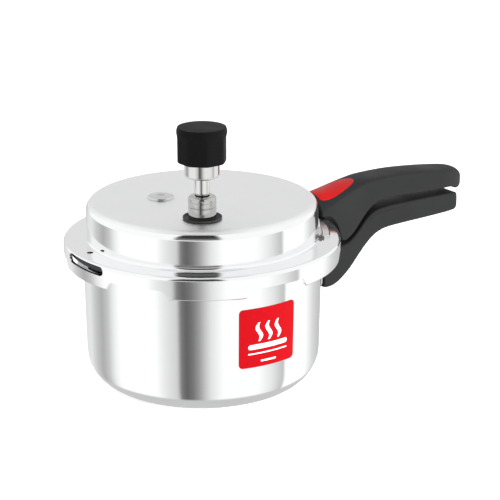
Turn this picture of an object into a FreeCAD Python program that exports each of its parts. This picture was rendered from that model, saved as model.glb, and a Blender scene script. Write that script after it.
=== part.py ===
import FreeCAD, Part
import math
import os

# Stovetop pressure cooker, nominal two litres, with an outer lid.
# Millimetres. The origin is the centre of the flat base, +Z is up and +X is
# the way the two handles point. The lid is closed and locked.

# --- pan -------------------------------------------------------------------
PAN_R = 82.5            # outer radius of the wall at its foot
PAN_TOP_R = 83.9        # and just under the rim, because the wall leans out a little
PAN_WALL = 2.5
PAN_BASE = 3.5          # the base is thicker than the wall
PAN_CORNER_R = 24.5     # outer radius between base and wall
PAN_INNER_CORNER_R = 22.0
RIM_Z = 101.5           # top of the pan rim
RIM_SHEET = 2.0
RIM_R = 87.6            # rim between the lugs
PAN_LUG_R = 91.8        # rim at the lugs
PAN_LUG_ARC = 24.0      # degrees
PAN_LUG_Z = 92.6        # lower edge of a pan lug
LABEL_Z0 = 34.8
LABEL_Z1 = 77.0

WALL_TOP_Z = RIM_Z - RIM_SHEET - 1.6
WALL_LEAN = (PAN_TOP_R - PAN_R) / (WALL_TOP_Z - PAN_CORNER_R)

# --- lid -------------------------------------------------------------------
LUG_COUNT = 6
LUG_PITCH = 360.0 / LUG_COUNT
LID_SHEET = 2.0
CROWN_R = 81.2
CROWN_Z = 132.2         # flat top of the lid
CROWN_CORNER_R = 7.0
FLANGE_Z = 105.8        # top of the flat flange round the crown
SKIRT_R = 97.2
SKIRT_ROUND = 2.8
SKIRT_GAP_Z = 96.0      # lower edge of the skirt between two lugs
LID_LUG_Z = 88.8        # lower edge of a lid lug
LID_LUG_INNER_R = 88.9  # tip of the inward hook of a lid lug
SLOT_ANGLE = 181.8      # gasket release slot, opposite the handles
SLOT_HALF = 22.0
SLOT_Z0 = 98.4
SLOT_Z1 = 104.7
SLOT_NEAR = 93.9        # how far in the slot reaches under the flange
SIGHT_HOLE_ANGLE = 176.0
SIGHT_HOLE_R = 86.6
SIGHT_HOLE_D = 4.5
RING_LIP_Z = 99.8       # the ring's outer lip hangs down outside the rim

# --- valve and plug on the lid ----------------------------------------------
VENT_X = -26.2
VENT_Y = -42.0
VENT_HOLE_R = 4.7
PLUG_X = -24.1
PLUG_Y = 15.8
PLUG_HOLE_R = 6.1

# --- weight on the vent -------------------------------------------------------
WEIGHT_Z = 161.0        # lower face of the metal weight
WEIGHT_R = 11.9
CAP_Z = 171.5           # lower edge of the black cap
CAP_TOP = 196.0
CAP_R = 17.0
GRIP_COUNT = 8          # shallow finger grips round the cap
GRIP_FIRST = 4.0        # degrees
GRIP_R = 13.0
GRIP_DEPTH = 1.0
GRIP_TOP = 191.2

FIT = 0.1               # gap between pieces that touch

# --- rivets through a wall and its bracket: (angle about Z, height) ------------
RIVET_R = 2.5
PAN_RIVETS = [(-4.4, 59.6), (4.4, 59.6), (0.0, 71.0)]
LID_RIVETS = [(-6.8, 112.8), (6.8, 112.8)]


def v(x, y, z):
    return FreeCAD.Vector(x, y, z)


def outline(start, steps):
    """Closed wire in the XZ plane. A step is (end,), (mid, end) or a spline."""
    edges = []
    here = v(start[0], 0, start[1])
    for step in steps:
        points = [v(p[0], 0, p[1]) for p in step]
        if len(points) == 1:
            edges.append(Part.makeLine(here, points[0]))
        elif len(points) == 2:
            edges.append(Part.Arc(here, points[0], points[1]).toShape())
        else:
            curve = Part.BSplineCurve()
            curve.interpolate([here] + points)
            edges.append(curve.toShape())
        here = points[-1]
    edges.append(Part.makeLine(here, v(start[0], 0, start[1])))
    return Part.Wire(edges)


def turned(start, steps, angle=360.0, first=0.0):
    """Solid of revolution about the Z axis."""
    face = Part.Face(outline(start, steps))
    face.rotate(v(0, 0, 0), v(0, 0, 1), first)
    return face.revolve(v(0, 0, 0), v(0, 0, 1), angle)


def cap_mid(chord, height):
    """Middle of the arc from (chord, 0) to the top (0, height) of a shallow dome."""
    ball_r = (chord ** 2 + height ** 2) / (2.0 * height)
    half = math.asin(chord / ball_r) / 2.0
    return ball_r * math.sin(half), height - ball_r * (1.0 - math.cos(half))


def cyl(x, y, z0, z1, r):
    return Part.makeCylinder(r, z1 - z0, v(x, y, z0), v(0, 0, 1))


def tube(x, y, z0, z1, r_out, r_in):
    return cyl(x, y, z0, z1, r_out).cut(cyl(x, y, z0 - 1, z1 + 1, r_in))


def box(x0, x1, y0, y1, z0, z1):
    return Part.makeBox(x1 - x0, y1 - y0, z1 - z0, v(x0, y0, z0))


def hexagon(x, y, z0, z1, across_flats):
    radius = across_flats / math.sqrt(3.0)
    points = []
    for i in range(7):
        a = math.radians(60.0 * i)
        points.append(v(x + radius * math.cos(a), y + radius * math.sin(a), z0))
    return Part.Face(Part.makePolygon(points)).extrude(v(0, 0, z1 - z0))


def wall_r(z):
    """Outer radius of the pan's straight wall at height z."""
    return PAN_R + (z - PAN_CORNER_R) * WALL_LEAN


def turned_about_z(shape, angle):
    copy = shape.copy()
    copy.rotate(v(0, 0, 0), v(0, 0, 1), angle)
    return copy


def save(name, shape):
    clean = shape.removeSplitter()
    clean.exportStep("parts/" + name + ".step")


# --- pan ---------------------------------------------------------------------

def cooker_pan():
    flat = PAN_R - PAN_CORNER_R
    k = math.sqrt(0.5)
    outer_mid = (flat + PAN_CORNER_R * k, PAN_CORNER_R * (1 - k))
    inner_r = PAN_R - PAN_WALL
    inner_top_r = PAN_TOP_R - PAN_WALL
    inner_z = PAN_BASE + PAN_INNER_CORNER_R
    inner_flat = inner_r - PAN_INNER_CORNER_R
    inner_mid = (inner_flat + PAN_INNER_CORNER_R * k, inner_z - PAN_INNER_CORNER_R * k)
    under = RIM_Z - RIM_SHEET
    body = turned((0, 0), [
        ((flat, 0),),
        (outer_mid, (PAN_R, PAN_CORNER_R)),
        ((PAN_TOP_R, WALL_TOP_Z),),
        ((PAN_TOP_R + 0.47, under - 0.47), (PAN_TOP_R + 1.6, under)),
        ((RIM_R - RIM_SHEET, under),),
        ((RIM_R - RIM_SHEET, under - 2.6),),
        ((RIM_R, under - 2.6),),
        ((RIM_R, RIM_Z - 0.8),),
        ((RIM_R - 0.23, RIM_Z - 0.23), (RIM_R - 0.8, RIM_Z)),
        ((inner_top_r + 2.2, RIM_Z),),
        ((inner_top_r + 0.65, RIM_Z - 0.65), (inner_top_r, RIM_Z - 2.2)),
        ((inner_r, inner_z),),
        (inner_mid, (inner_flat, PAN_BASE)),
        ((0, PAN_BASE),),
    ])
    for i in range(LUG_COUNT):
        first = i * LUG_PITCH - PAN_LUG_ARC / 2.0
        lug = turned((RIM_R - 1.6, RIM_Z), [
            ((PAN_LUG_R - 0.8, RIM_Z),),
            ((PAN_LUG_R - 0.23, RIM_Z - 0.23), (PAN_LUG_R, RIM_Z - 0.8)),
            ((PAN_LUG_R, PAN_LUG_Z),),
            ((PAN_LUG_R - RIM_SHEET, PAN_LUG_Z),),
            ((PAN_LUG_R - RIM_SHEET, under),),
            ((RIM_R - 1.6, under),),
        ], PAN_LUG_ARC, first)
        body = body.fuse(lug)
    for angle, z in PAN_RIVETS:
        body = body.cut(rivet_hole(angle, z))
    return body


def rivet_hole(angle, z):
    hole = Part.makeCylinder(RIVET_R + FIT / 2.0, 30, v(70, 0, z), v(1, 0, 0))
    return turned_about_z(hole, angle)


def wall_band(z0, z1, near, far, arc, first):
    """Band that lies on the pan's wall, from near to far outside it."""
    return turned((wall_r(z0) + near, z0), [
        ((wall_r(z0) + far, z0),),
        ((wall_r(z1) + far, z1),),
        ((wall_r(z1) + near, z1),),
    ], arc, first)


def pan_label():
    half = 15.45
    band = wall_band(LABEL_Z0, LABEL_Z1, 0.02, 0.32, 2 * half, 270.0 - half)
    half_width = PAN_R * math.sin(math.radians(half)) - 0.05
    plate = box(-half_width, half_width, -100, -60, LABEL_Z0, LABEL_Z1)
    corners = [e for e in plate.Edges if is_along(e, 1)]
    return band.common(plate.makeFillet(3.0, corners))


def is_along(edge, axis):
    if len(edge.Vertexes) != 2:
        return False
    d = edge.Vertexes[1].Point - edge.Vertexes[0].Point
    sizes = [abs(d.x), abs(d.y), abs(d.z)]
    return sizes[axis] > 0.999 * d.Length


# --- pan handle ----------------------------------------------------------------

BRACKET_FACE_X = 95.3
PAN_BRACKET_SHEET = 2.1
PAN_SCREW_X = 108.0


def pan_handle_bracket():
    plate = wall_band(50.5, 79.0, FIT, PAN_BRACKET_SHEET, 30.0, -15.0)
    window = box(70, 100, -19.5, 19.5, 50.5, 79.0)
    corners = [e for e in window.Edges if is_along(e, 0)]
    plate = plate.common(window.makeFillet(5.0, corners))
    neck = box(PAN_R, BRACKET_FACE_X - FIT, -13.5, 13.5, 52.2, 77.5)
    sides = [e for e in neck.Edges if is_along(e, 0)]
    neck = neck.makeFillet(4.0, sides)
    core = box(PAN_R - 5, BRACKET_FACE_X - 2.2, -11.6, 11.6, 54.1, 75.6)
    core = core.makeFillet(2.5, [e for e in core.Edges if is_along(e, 0)])
    neck = neck.cut(core).cut(cyl(0, 0, 0, 120, PAN_TOP_R + 0.6))
    tongue = box(BRACKET_FACE_X - 2.5, 117.0, -6.0, 6.0, 64.5, 67.5)
    body = plate.fuse(neck).fuse(tongue)
    body = body.cut(cyl(PAN_SCREW_X, 0, 60, 72, 2.1))
    for angle, z in PAN_RIVETS:
        body = body.cut(rivet_hole(angle, z))
    return body


def rivet(angle, z, outer_r, wall_sheet, plate):
    """One radial rivet through a curved wall and the plate outside it."""
    x_in = outer_r - wall_sheet - 0.25
    x_out = outer_r + plate + FIT
    shank = Part.makeCylinder(RIVET_R, x_out - x_in, v(x_in, 0, z), v(1, 0, 0))
    head = dome(v(x_out, 0, z), v(1, 0, 0), 4.2, 1.8)
    tail = dome(v(x_in, 0, z), v(-1, 0, 0), 4.2, 1.6)
    return turned_about_z(shank.fuse(head).fuse(tail), angle)


def dome(centre, axis, radius, height):
    """Spherical cap with a flat circular face at centre."""
    ball_r = (radius ** 2 + height ** 2) / (2.0 * height)
    back = v(centre.x, centre.y, centre.z) - v(axis.x, axis.y, axis.z) * (ball_r - height)
    ball = Part.makeSphere(ball_r, back)
    keep = Part.makeCylinder(radius + 1, height + 1, centre, axis)
    return ball.common(keep)


def pan_bracket_rivets():
    pieces = [rivet(angle, z, wall_r(z), PAN_WALL, PAN_BRACKET_SHEET) for angle, z in PAN_RIVETS]
    return Part.makeCompound(pieces)


def rounded_section(x, half, z_low, z_high, r_low, r_high):
    """Rounded rectangle in the plane X = x, as a wire."""
    points = [
        (half - r_low, z_low), (half, z_low + r_low),
        (half, z_high - r_high), (half - r_high, z_high),
        (-half + r_high, z_high), (-half, z_high - r_high),
        (-half, z_low + r_low), (-half + r_low, z_low),
    ]
    k = 1.0 - math.sqrt(0.5)
    mids = [
        (half - k * r_low, z_low + k * r_low),
        (half - k * r_high, z_high - k * r_high),
        (-half + k * r_high, z_high - k * r_high),
        (-half + k * r_low, z_low + k * r_low),
    ]
    edges = []
    for i in range(4):
        a = points[2 * i]
        b = points[2 * i + 1]
        c = points[(2 * i + 2) % 8]
        m = mids[i]
        edges.append(Part.Arc(v(x, *a), v(x, *m), v(x, *b)).toShape())
        edges.append(Part.makeLine(v(x, *b), v(x, *c)))
    return Part.Wire(edges)


# x, half width, underside, top
PAN_HANDLE_SECTIONS = [
    (95.3, 15.4, 51.8, 80.2),
    (99.0, 15.3, 51.0, 80.2),
    (104.5, 15.0, 51.6, 80.3),
    (109.5, 14.6, 53.6, 80.5),
    (115.0, 14.1, 57.1, 81.2),
    (120.3, 13.6, 61.5, 83.2),
    (125.5, 13.2, 66.8, 87.0),
    (130.5, 12.9, 72.1, 92.1),
    (135.5, 12.6, 77.0, 97.1),
    (140.5, 12.4, 81.1, 100.8),
    (146.0, 12.3, 84.3, 102.7),
    (153.0, 12.3, 86.4, 103.6),
    (164.0, 12.3, 87.4, 104.1),
    (180.0, 12.3, 88.0, 104.2),
    (200.0, 12.3, 88.7, 104.3),
    (215.0, 12.2, 89.5, 104.2),
    (220.2, 11.9, 90.0, 103.9),
    (222.2, 10.4, 91.4, 102.6),
]


def pan_handle():
    wires = []
    for x, half, low, high in PAN_HANDLE_SECTIONS:
        wires.append(rounded_section(x, half, low, high, 4.0, 2.6))
    body = Part.makeLoft(wires, True, False)
    slot = box(90, 117.6, -6.3, 6.3, 64.2, 67.8)
    head_way = cyl(PAN_SCREW_X, 0, 40, 59.2, 4.6)
    shank_way = cyl(PAN_SCREW_X, 0, 50, 76.0, 2.1)
    return body.cut(slot).cut(head_way).cut(shank_way)


def pan_handle_screw():
    head = cyl(PAN_SCREW_X, 0, 56.6, 59.1, 4.0)
    head = head.makeFillet(1.0, [e for e in head.Edges if e.BoundBox.ZMax < 56.7])
    shank = cyl(PAN_SCREW_X, 0, 59.0, 75.6, 2.0)
    cross = box(PAN_SCREW_X - 2.2, PAN_SCREW_X + 2.2, -0.5, 0.5, 56, 57.7)
    cross = cross.fuse(box(PAN_SCREW_X - 0.5, PAN_SCREW_X + 0.5, -2.2, 2.2, 56, 57.7))
    return head.fuse(shank).cut(cross)


# --- lid -----------------------------------------------------------------------

def skirt_gap():
    """Cutter for the shallow stretch of skirt between two lugs, at +X."""
    top = SKIRT_GAP_Z
    left = [v(0, -29.5, 86.0), v(0, -27.6, 88.9), v(0, -25.2, 91.2), v(0, -23.8, 93.8),
            v(0, -22.0, 95.6), v(0, -19.0, top)]
    right = [v(0, -p.y, p.z) for p in left]
    a = Part.BSplineCurve()
    a.interpolate(left)
    b = Part.BSplineCurve()
    b.interpolate(right)
    wire = Part.Wire([
        a.toShape(),
        Part.makeLine(left[-1], right[-1]),
        b.toShape(),
        Part.makeLine(right[0], left[0]),
    ])
    face = Part.Face(wire)
    face.translate(v(80, 0, 0))
    return face.extrude(v(30, 0, 0))


def release_slot():
    r = (SLOT_Z1 - SLOT_Z0) / 2.0
    mid = (SLOT_Z1 + SLOT_Z0) / 2.0
    far = SKIRT_R + 5.0
    slot = box(SLOT_NEAR, far, -SLOT_HALF + r, SLOT_HALF - r, SLOT_Z0, SLOT_Z1)
    for y in (-SLOT_HALF + r, SLOT_HALF - r):
        slot = slot.fuse(Part.makeCylinder(r, far - SLOT_NEAR, v(SLOT_NEAR, y, mid), v(1, 0, 0)))
    return turned_about_z(slot, SLOT_ANGLE)


def cooker_lid():
    k = math.sqrt(0.5)
    c = CROWN_CORNER_R
    flat = CROWN_R - c
    inner_r = CROWN_R - LID_SHEET
    inner_c = c - LID_SHEET
    under = FLANGE_Z - LID_SHEET
    edge_r = SKIRT_R - SKIRT_ROUND
    edge_z = FLANGE_Z - SKIRT_ROUND
    skirt_in = SKIRT_R - LID_SHEET
    body = turned((0, CROWN_Z), [
        ((flat, CROWN_Z),),
        ((flat + c * k, CROWN_Z - c * (1 - k)), (CROWN_R, CROWN_Z - c)),
        ((CROWN_R, FLANGE_Z + 2.0),),
        ((CROWN_R + 0.586, FLANGE_Z + 0.586), (CROWN_R + 2.0, FLANGE_Z)),
        ((edge_r, FLANGE_Z),),
        ((edge_r + SKIRT_ROUND * k, edge_z + SKIRT_ROUND * k), (SKIRT_R, edge_z)),
        ((SKIRT_R, 98.5),),
        ((96.4, 91.6),),
        ((95.6, 89.65), (93.6, LID_LUG_Z)),
        ((LID_LUG_INNER_R, LID_LUG_Z),),
        ((LID_LUG_INNER_R, 90.9),),
        ((93.0, 90.9),),
        ((94.0, 91.3), (94.4, 92.2)),
        ((skirt_in, 98.6),),
        ((skirt_in, under - 1.0),),
        ((skirt_in - 0.293, under - 0.293), (skirt_in - 1.0, under)),
        ((inner_r + 1.0, under),),
        ((inner_r + 0.293, under + 0.293), (inner_r, under + 1.0)),
        ((inner_r, CROWN_Z - c),),
        ((flat + inner_c * k, CROWN_Z - c + inner_c * k), (flat, CROWN_Z - LID_SHEET)),
        ((0, CROWN_Z - LID_SHEET),),
    ])
    for i in range(LUG_COUNT):
        body = body.cut(turned_about_z(skirt_gap(), (i + 0.5) * LUG_PITCH))
    body = body.cut(release_slot())
    a = math.radians(SIGHT_HOLE_ANGLE)
    sight = cyl(SIGHT_HOLE_R * math.cos(a), SIGHT_HOLE_R * math.sin(a), 100, 108, SIGHT_HOLE_D / 2.0)
    body = body.cut(sight)
    body = body.cut(cyl(VENT_X, VENT_Y, 125, 135, VENT_HOLE_R))
    body = body.cut(cyl(PLUG_X, PLUG_Y, 125, 135, PLUG_HOLE_R))
    for angle, z in LID_RIVETS:
        body = body.cut(rivet_hole(angle, z))
    return body


def sealing_ring():
    low = RIM_Z + FIT
    high = FLANGE_Z - LID_SHEET - FIT
    mid = (low + high) / 2.0
    lip = RING_LIP_Z
    return turned((81.6, low), [
        ((PAN_LUG_R + 0.4, low),),
        ((PAN_LUG_R + 0.4, lip + 0.3),),
        ((PAN_LUG_R + 0.7, lip),),
        ((93.7, lip),),
        ((94.1, lip + 0.4),),
        ((94.1, high - 0.9),),
        ((93.84, high - 0.26), (93.2, high)),
        ((81.6, high),),
        ((82.8, mid),),
    ])


# --- vent, weight and safety plug --------------------------------------------------

def at_vent(shape):
    shape.translate(v(VENT_X, VENT_Y, 0))
    return shape


def at_plug(shape):
    shape.translate(v(PLUG_X, PLUG_Y, 0))
    return shape


def vent_seal_washer():
    z = CROWN_Z
    return at_vent(turned((4.8, z + 0.05), [
        ((12.2, z + 0.05),),
        ((13.0, z + 0.35), (13.3, z + 1.1)),
        ((13.3, z + 1.4),),
        ((13.0, z + 1.7), (12.7, z + 1.5)),
        ((11.5, z + 0.85), (10.2, z + 0.5)),
        ((4.8, z + 0.5),),
    ]))


def vent_collar():
    z = CROWN_Z + 0.6
    return at_vent(turned((4.65, z), [
        ((9.1, z),),
        ((9.38, z + 0.12), (9.5, z + 0.4)),
        ((9.5, 140.6),),
        ((9.0, 141.0),),
        ((9.5, 141.4),),
        ((9.5, 144.3),),
        ((9.25, 144.55),),
        ((9.5, 144.8),),
        ((9.5, 146.2),),
        ((8.86, 147.74), (7.3, 148.4)),
        ((5.3, 148.4),),
        ((5.0, 148.1),),
        ((5.0, 143.6),),
        ((4.65, 143.6),),
    ]))


def vent_tube():
    return at_vent(turned((1.75, 119.5), [
        ((4.0, 119.5),),
        ((4.5, 120.0),),
        ((4.5, 143.7),),
        ((3.9, 144.3),),
        ((3.9, 147.4),),
        ((5.3, 150.4),),
        ((5.3, 168.5),),
        ((4.9, 169.3),),
        ((4.9, 170.0),),
        ((3.0, 173.6),),
        ((2.3, 174.0),),
        ((1.75, 173.6),),
    ]))


def vent_inner_washer():
    top = CROWN_Z - LID_SHEET - 0.05
    return at_vent(tube(0, 0, top - 1.6, top, 9.6, 4.65))


def vent_lock_nut():
    top = CROWN_Z - LID_SHEET - 1.75
    nut = hexagon(0, 0, top - 5.5, top, 15.0).cut(cyl(0, 0, top - 7, top + 1, 4.6))
    cone = Part.makeCone(6.7, 9.6, 2.9, v(0, 0, top - 5.5))
    full = cone.fuse(cyl(0, 0, top - 2.6, top, 9.6))
    return at_vent(nut.common(full))


def safety_plug():
    z = CROWN_Z + 0.05
    body = turned((0, z), [
        ((9.1, z),),
        ((9.1, z + 1.1),),
        ((8.9, z + 1.5), (8.4, z + 1.75)),
        ((cap_mid(8.4, 0.75)[0], z + 1.75 + cap_mid(8.4, 0.75)[1]), (0, z + 2.5)),
    ])
    body = body.fuse(cyl(0, 0, 120.5, z + 0.5, 5.95))
    body = body.cut(cyl(0, 0, 119, 137, 2.8))
    return at_plug(body)


def safety_plug_slug():
    body = turned((0, 121.0), [
        ((2.75, 121.0),),
        ((2.75, CROWN_Z + 2.5),),
        ((cap_mid(2.75, 0.45)[0], CROWN_Z + 2.5 + cap_mid(2.75, 0.45)[1]), (0, CROWN_Z + 2.95)),
    ])
    return at_plug(body)


def safety_plug_seal():
    top = CROWN_Z - LID_SHEET - 0.05
    return at_plug(tube(0, 0, top - 1.8, top, 10.0, 6.05))


def safety_plug_nut():
    top = CROWN_Z - LID_SHEET - 1.95
    nut = hexagon(0, 0, top - 4.6, top, 17.0).cut(cyl(0, 0, top - 7, top + 1, 6.05))
    cone = Part.makeCone(8.0, 10.4, 2.4, v(0, 0, top - 4.6))
    full = cone.fuse(cyl(0, 0, top - 2.2, top, 10.4))
    return at_plug(nut.common(full))


def weight_body():
    z = WEIGHT_Z
    return at_vent(turned((5.75, z + 0.6), [
        ((6.35, z),),
        ((9.3, z),),
        ((11.14, z + 0.76), (WEIGHT_R, z + 2.6)),
        ((WEIGHT_R, 183.0),),
        ((11.3, 183.6),),
        ((2.15, 183.6),),
        ((2.15, 176.4),),
        ((5.75, 172.4),),
    ]))


def weight_needle():
    return at_vent(turned((0, 171.8), [
        ((0.6, 171.8),),
        ((1.62, 174.4),),
        ((2.1, 175.6),),
        ((2.1, 183.5),),
        ((0, 183.5),),
    ]))


def weight_cap():
    dome = cap_mid(15.8, CAP_TOP - 195.7)
    body = turned((WEIGHT_R + 0.05, CAP_Z), [
        ((15.3, CAP_Z),),
        ((16.3, CAP_Z + 0.35), (16.7, CAP_Z + 1.3)),
        ((16.7, 188.5),),
        ((16.77, 190.1), (CAP_R, 191.7)),
        ((CAP_R, 193.2),),
        ((16.45, 195.2),),
        ((16.2, 195.56), (15.8, 195.7)),
        ((dome[0], 195.7 + dome[1]), (0, CAP_TOP)),
        ((0, 183.7),),
        ((WEIGHT_R + 0.05, 183.7),),
    ])
    away = CAP_R - 0.3 + GRIP_R - GRIP_DEPTH
    for i in range(GRIP_COUNT):
        a = math.radians(360.0 / GRIP_COUNT * i + GRIP_FIRST)
        foot = v(away * math.cos(a), away * math.sin(a), CAP_Z - 1)
        groove = Part.makeCylinder(GRIP_R, GRIP_TOP - CAP_Z + 1, foot)
        body = body.cut(groove)
    return at_vent(body)


# --- lid handle ----------------------------------------------------------------------

TONGUE_Z0 = 107.4
TONGUE_Z1 = 110.2
LID_SCREW_X = 113.6
FOOT_R = 89.4           # outer edge of the bracket's foot on the flange
FOOT_TOP = 117.4
FOOT_ARC = 80.0         # degrees
FOOT_HALF = 55.0


def lid_handle_bracket():
    foot = FLANGE_Z + FIT / 2.0
    shin = turned((CROWN_R + 2.2, foot), [
        ((FOOT_R - 0.4, foot),),
        ((FOOT_R, foot + 0.4),),
        ((FOOT_R, foot + 1.15),),
        ((FOOT_R - 0.8, foot + 1.7),),
        ((84.2, foot + 1.7),),
        ((83.4, foot + 2.45),),
        ((83.4, FOOT_TOP),),
        ((81.3, FOOT_TOP),),
        ((81.3, foot + 1.95),),
        ((CROWN_R + 0.75, foot + 0.8), (CROWN_R + 2.1, foot + 0.1)),
    ], FOOT_ARC, -FOOT_ARC / 2.0)
    low = foot + 2.4
    half = [(FOOT_HALF, 100.0), (FOOT_HALF, low), (38.0, low), (29.5, FOOT_TOP - 2.0), (25.0, FOOT_TOP)]
    points = [v(50, y, z) for y, z in half] + [v(50, -y, z) for y, z in half[::-1]]
    keep = Part.Face(Part.makePolygon(points + points[:1])).extrude(v(60, 0, 0))
    body = shin.common(keep)
    step = box(86.0, 92.0, -8.0, 8.0, FLANGE_Z + 0.3, TONGUE_Z1)
    tongue = box(90.0, 119.0, -6.5, 6.5, TONGUE_Z0, TONGUE_Z1)
    body = body.fuse(step).fuse(tongue)
    body = body.cut(cyl(LID_SCREW_X, 0, 100, 115, 2.1))
    for angle, z in LID_RIVETS:
        body = body.cut(rivet_hole(angle, z))
    return body


def lid_bracket_rivets():
    pieces = [rivet(angle, z, CROWN_R, LID_SHEET, 2.2) for angle, z in LID_RIVETS]
    return Part.makeCompound(pieces)


# x, half width, height where the side turns into the top, height of the top
LID_HANDLE_SECTIONS = [
    (88.0, 17.6, 108.4, 119.2),
    (94.0, 17.1, 110.9, 120.2),
    (100.0, 16.6, 113.5, 120.9),
    (107.0, 15.9, 116.3, 121.9),
    (113.0, 15.1, 118.5, 122.9),
    (119.0, 14.3, 120.3, 124.0),
    (125.0, 13.6, 121.9, 125.0),
    (131.0, 13.0, 123.4, 125.9),
    (138.0, 12.6, 124.9, 126.6),
    (148.0, 12.4, 125.5, 127.2),
    (160.0, 12.3, 125.7, 127.4),
    (172.0, 12.3, 125.2, 127.2),
    (184.0, 12.3, 124.4, 126.5),
    (196.0, 12.3, 123.3, 125.4),
    (206.0, 12.3, 122.1, 124.4),
    (215.0, 11.6, 121.1, 123.6),
    (222.0, 9.8, 119.9, 122.6),
    (227.0, 7.2, 118.3, 121.0),
    (230.4, 3.6, 116.5, 119.0),
]


def arch_section(x, half, z_side, z_top, blend):
    """Closed wire in the plane X = x: straight sides under a crowned top."""
    rise = z_top - z_side
    up = 0.45 + 0.25 * blend
    shoulder = 0.90 + 0.08 * blend
    over = 0.55 + 0.25 * blend
    left = Part.BezierCurve()
    left.setPoles([
        v(x, -half, z_side), v(x, -shoulder * half, z_side + up * rise),
        v(x, -over * half, z_top), v(x, 0, z_top),
    ])
    right = Part.BezierCurve()
    right.setPoles([
        v(x, 0, z_top), v(x, over * half, z_top),
        v(x, shoulder * half, z_side + up * rise), v(x, half, z_side),
    ])
    foot = 70.0
    return Part.Wire([
        Part.makeLine(v(x, -half, foot), v(x, -half, z_side)),
        left.toShape(),
        right.toShape(),
        Part.makeLine(v(x, half, z_side), v(x, half, foot)),
        Part.makeLine(v(x, half, foot), v(x, -half, foot)),
    ])


def lid_handle_blank():
    wires = []
    for x, half, side, top in LID_HANDLE_SECTIONS:
        blend = min(1.0, max(0.0, (x - 100.0) / 40.0))
        wires.append(arch_section(x, half, side, top, blend))
    hull = Part.makeLoft(wires, True, False)
    side_view = outline((91.0, 119.0), [
        ((91.0, 106.3),),
        ((95.6, 106.2),),
        ((99.6, 104.9), (103.7, 101.2), (107.2, 95.4), (109.6, 88.9), (110.5, 86.6),
         (112.2, 85.0), (114.6, 84.8), (117.8, 86.0), (123.2, 89.6), (129.2, 96.0),
         (135.2, 102.2), (140.3, 106.1), (145.3, 108.5), (150.2, 109.7), (156.3, 110.1),
         (165.0, 109.8), (178.0, 109.3), (194.0, 108.9), (206.0, 109.0), (212.5, 109.0)),
        ((217.0, 108.4), (220.6, 106.9), (224.0, 106.3), (227.2, 107.1), (229.2, 109.0),
         (230.1, 112.0), (229.8, 115.0), (228.6, 117.8), (226.2, 120.6), (222.5, 123.6),
         (218.0, 126.5)),
        ((200.0, 140.0),),
        ((96.0, 140.0),),
        ((96.0, 124.0),),
    ])
    slab = Part.Face(side_view)
    slab.translate(v(0, -30, 0))
    return slab.extrude(v(0, 60, 0)).common(hull)


def insert_plan(shrink, z0, z1):
    """Plan outline of the red insert, extruded."""
    half = [(94.2, 10.0), (96.0, 11.4), (99.0, 12.4), (104.0, 12.5), (112.0, 11.4),
            (119.0, 9.6), (124.5, 7.3), (128.2, 4.3)]
    near = [v(x, -(h - shrink), z0) for x, h in half]
    far = [v(x, h - shrink, z0) for x, h in half]
    near[0].x += shrink
    far[0].x += shrink
    tip = v(130.2 - shrink, 0, z0)
    curve = Part.BSplineCurve()
    curve.interpolate(near + [tip] + far[::-1])
    wire = Part.Wire([curve.toShape(), Part.makeLine(far[0], near[0])])
    return Part.Face(wire).extrude(v(0, 0, z1 - z0))


def top_skin(blank, thickness, shrink):
    """Piece of the handle's top surface inside the insert's outline."""
    lowered = blank.copy()
    lowered.translate(v(0, 0, -thickness))
    plan = insert_plan(shrink, 113.0, 140.0)
    return blank.common(plan).cut(lowered)


def lid_handle(blank):
    body = blank.cut(top_skin(blank, 1.7, 0.0))
    slot = box(80, 119.6, -6.8, 6.8, TONGUE_Z0 - 0.3, TONGUE_Z1 + 0.3)
    step_way = box(80, 92.4, -8.4, 8.4, 100, TONGUE_Z1 + 0.3)
    head_way = cyl(LID_SCREW_X, 0, 70, 95.2, 4.6)
    shank_way = cyl(LID_SCREW_X, 0, 90, 118.0, 2.1)
    return body.cut(slot).cut(step_way).cut(head_way).cut(shank_way)


def lid_handle_insert(blank):
    return top_skin(blank, 1.6, 0.15)


def lid_handle_screw():
    head = cyl(LID_SCREW_X, 0, 92.6, 95.1, 4.0)
    head = head.makeFillet(1.0, [e for e in head.Edges if e.BoundBox.ZMax < 92.7])
    shank = cyl(LID_SCREW_X, 0, 95.0, 117.6, 2.0)
    cross = box(LID_SCREW_X - 2.2, LID_SCREW_X + 2.2, -0.5, 0.5, 92, 93.7)
    cross = cross.fuse(box(LID_SCREW_X - 0.5, LID_SCREW_X + 0.5, -2.2, 2.2, 92, 93.7))
    return head.fuse(shank).cut(cross)


os.makedirs("parts", exist_ok=True)

save("cooker_pan", cooker_pan())
save("pan_label", pan_label())
save("pan_handle_bracket", pan_handle_bracket())
save("pan_bracket_rivets", pan_bracket_rivets())
save("pan_handle", pan_handle())
save("pan_handle_screw", pan_handle_screw())
save("sealing_ring", sealing_ring())
save("cooker_lid", cooker_lid())
save("lid_handle_bracket", lid_handle_bracket())
save("lid_bracket_rivets", lid_bracket_rivets())
handle = lid_handle_blank()
save("lid_handle", lid_handle(handle))
save("lid_handle_insert", lid_handle_insert(handle))
save("lid_handle_screw", lid_handle_screw())
save("vent_seal_washer", vent_seal_washer())
save("vent_collar", vent_collar())
save("vent_tube", vent_tube())
save("vent_inner_washer", vent_inner_washer())
save("vent_lock_nut", vent_lock_nut())
save("safety_plug", safety_plug())
save("safety_plug_slug", safety_plug_slug())
save("safety_plug_seal", safety_plug_seal())
save("safety_plug_nut", safety_plug_nut())
save("weight_body", weight_body())
save("weight_cap", weight_cap())
save("weight_needle", weight_needle())
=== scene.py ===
import bisect
import math

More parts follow.
